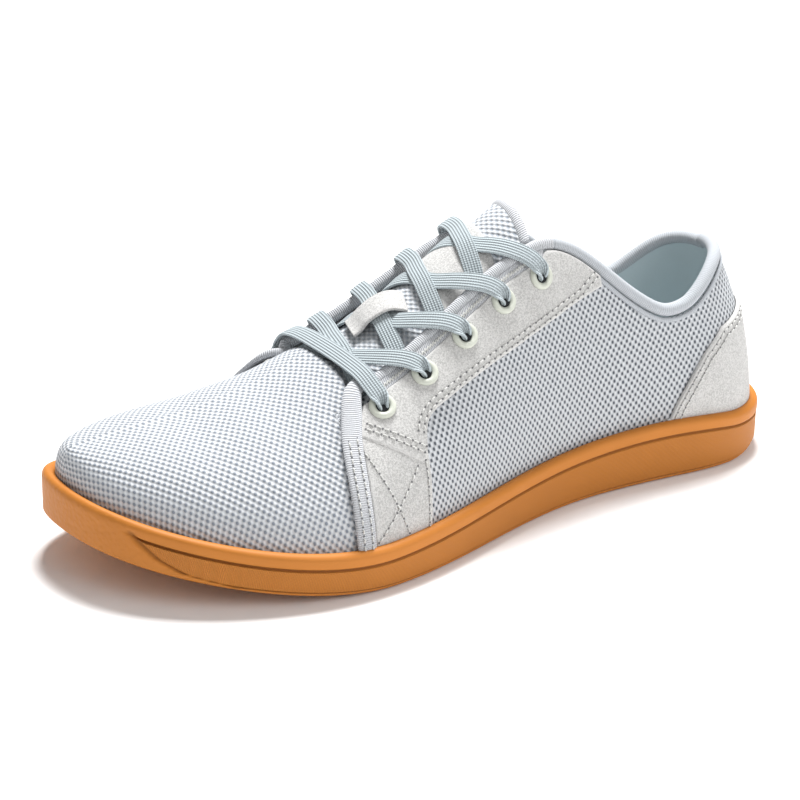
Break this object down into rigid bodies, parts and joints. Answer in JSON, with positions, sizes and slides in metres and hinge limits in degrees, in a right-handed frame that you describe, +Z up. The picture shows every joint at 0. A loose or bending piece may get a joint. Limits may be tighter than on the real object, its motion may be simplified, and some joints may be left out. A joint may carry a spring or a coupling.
{
  "type": "barefoot shoe",
  "caption": "Low lace-up barefoot shoe with a wide toe, thin flat cup sole, hollow mesh upper with suede overlays, bound open throat, padded tongue and flat laces.",
  "frame": {"origin": "middle of the bounding box in X and Y, at the height of the sole's flat underside", "axes": "+X towards the toe, +Y towards the lateral side, +Z up"},
  "size_m": [0.2901, 0.1088, 0.1115],
  "materials": {
    "gum": "matt gum rubber",
    "mesh": "open knitted mesh",
    "lining": "smooth woven lining",
    "knit": "close knit",
    "suede": "brushed suede",
    "tape": "ribbed tape",
    "lace": "flat woven lace",
    "ring": "satin lacquer"
  },
  "bodies": {
    "root": {"outsole": "gum", "upper": "mesh", "tongue": "mesh", "insole": "lining", "collar_binding": "knit", "heel_counter": "suede", "eyestay_lateral": "suede", "eyestay_medial": "suede", "throat_binding_lateral": "tape", "throat_binding_medial": "tape", "tongue_binding": "tape", "tongue_patch": "suede", "lace_keeper": "suede", "lace_bar": "lace", "lace_cross_1": "lace", "lace_cross_2": "lace", "lace_cross_3": "lace", "lace_cross_4": "lace", "eyelet_lateral_1": "ring", "eyelet_lateral_2": "ring", "eyelet_lateral_3": "ring", "eyelet_lateral_4": "ring", "eyelet_lateral_5": "ring", "eyelet_medial_1": "ring", "eyelet_medial_2": "ring", "eyelet_medial_3": "ring", "eyelet_medial_4": "ring", "eyelet_medial_5": "ring"}
  },
  "joints": []
}
